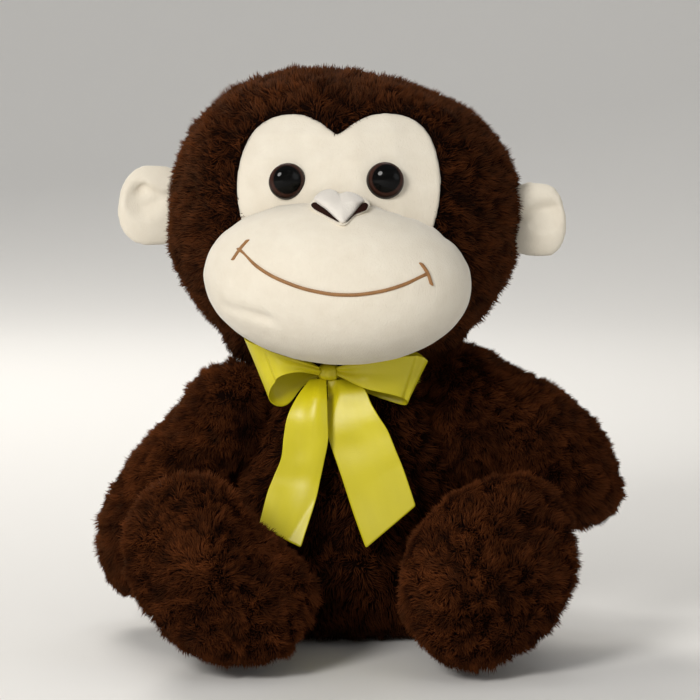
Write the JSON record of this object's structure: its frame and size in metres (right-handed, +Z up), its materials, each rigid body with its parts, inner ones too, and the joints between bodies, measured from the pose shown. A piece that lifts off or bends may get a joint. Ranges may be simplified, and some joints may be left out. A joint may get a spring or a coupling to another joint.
{
  "type": "plush monkey",
  "caption": "Sitting plush monkey with stuffed body, turning head, swinging arms, legs and tail, soft ears and a satin ribbon bow at the neck.",
  "frame": {"origin": "middle of the flat seat under the torso, on the surface that the monkey sits on", "axes": "+Z up, -Y the way the monkey faces, +X to the right of someone who looks at its face"},
  "size_m": [0.2524, 0.241, 0.27],
  "materials": {
    "brown_plush": "long soft pile",
    "polyester_fill": "loose fibre",
    "cream_velboa": "short pile",
    "lime_satin": "satin weave",
    "pellet_cloth": "plain weave",
    "white_nose": "smooth short pile",
    "brown_thread": "embroidery thread",
    "eye_plastic": "polished",
    "washer_plastic": "moulded"
  },
  "bodies": {
    "torso": {"torso_skin": "brown_plush", "torso_stuffing": "polyester_fill", "seat_pellet_bag": "pellet_cloth", "ribbon_band": "lime_satin", "bow_knot": "lime_satin", "bow_loop_left": "lime_satin", "bow_loop_right": "lime_satin"},
    "neck": {"neck_stuffing": "polyester_fill"},
    "head": {"head_skin": "brown_plush", "face_panel": "cream_velboa", "head_stuffing": "polyester_fill", "muzzle_skin": "cream_velboa", "muzzle_stuffing": "polyester_fill", "nose": "white_nose", "smile_stitching": "brown_thread", "eye_left": "eye_plastic", "eye_right": "eye_plastic", "eye_washer_left": "washer_plastic", "eye_washer_right": "washer_plastic"},
    "ear_left": {"ear_left_front": "cream_velboa", "ear_left_back": "cream_velboa"},
    "ear_right": {"ear_right_front": "cream_velboa", "ear_right_back": "cream_velboa"},
    "arm_left": {"arm_left_skin": "brown_plush", "arm_left_stuffing": "polyester_fill"},
    "arm_right": {"arm_right_skin": "brown_plush", "arm_right_stuffing": "polyester_fill"},
    "leg_left": {"leg_left_skin": "brown_plush", "leg_left_sole": "brown_plush", "leg_left_stuffing": "polyester_fill"},
    "leg_right": {"leg_right_skin": "brown_plush", "leg_right_sole": "brown_plush", "leg_right_stuffing": "polyester_fill"},
    "tail": {"tail_skin": "brown_plush", "tail_stuffing": "polyester_fill"},
    "ribbon_tail_left": {"ribbon_tail_left": "lime_satin"},
    "ribbon_tail_right": {"ribbon_tail_right": "lime_satin"}
  },
  "joints": [
    {"name": "neck_turn", "type": "hinge", "parent": "torso", "child": "neck", "pos_m": [0, 0.002, 0.131], "axis": [0, 0, 1], "range_deg": [-12, 12]},
    {"name": "head_nod", "type": "hinge", "parent": "neck", "child": "head", "pos_m": [0, 0.002, 0.131], "axis": [-0.9961, 0.0872, -0.0105], "range_deg": [0, 12]},
    {"name": "ear_left_fold", "type": "hinge", "parent": "head", "child": "ear_left", "pos_m": [-0.08514, 0.01246, 0.19961], "axis": [-0.0104, 0.0009, 0.9999], "range_deg": [-20, 20], "stiffness_Nm_per_rad": 0.02},
    {"name": "ear_right_fold", "type": "hinge", "parent": "head", "child": "ear_right", "pos_m": [0.08427, -0.00236, 0.19539], "axis": [0.0104, -0.0009, -0.9999], "range_deg": [-20, 20], "stiffness_Nm_per_rad": 0.02},
    {"name": "arm_left_raise", "type": "hinge", "parent": "torso", "child": "arm_left", "pos_m": [-0.051, 0.002, 0.103], "axis": [0, 1, 0], "range_deg": [0, 40]},
    {"name": "arm_right_raise", "type": "hinge", "parent": "torso", "child": "arm_right", "pos_m": [0.051, 0.002, 0.103], "axis": [0, -1, 0], "range_deg": [0, 30]},
    {"name": "leg_left_spread", "type": "hinge", "parent": "torso", "child": "leg_left", "pos_m": [-0.047, -0.034, 0.032], "axis": [0, 0, -1], "range_deg": [0, 15]},
    {"name": "leg_right_spread", "type": "hinge", "parent": "torso", "child": "leg_right", "pos_m": [0.047, -0.034, 0.032], "axis": [0, 0, 1], "range_deg": [0, 15]},
    {"name": "tail_swing", "type": "hinge", "parent": "torso", "child": "tail", "pos_m": [0, 0.048, 0.018], "axis": [0, 0, 1], "range_deg": [-20, 20]},
    {"name": "ribbon_left_swing", "type": "hinge", "parent": "torso", "child": "ribbon_tail_left", "pos_m": [-0.013, -0.04, 0.121], "axis": [-1, 0, 0], "range_deg": [0, 25]},
    {"name": "ribbon_right_swing", "type": "hinge", "parent": "torso", "child": "ribbon_tail_right", "pos_m": [-0.004, -0.04, 0.121], "axis": [-1, 0, 0], "range_deg": [0, 25]}
  ]
}
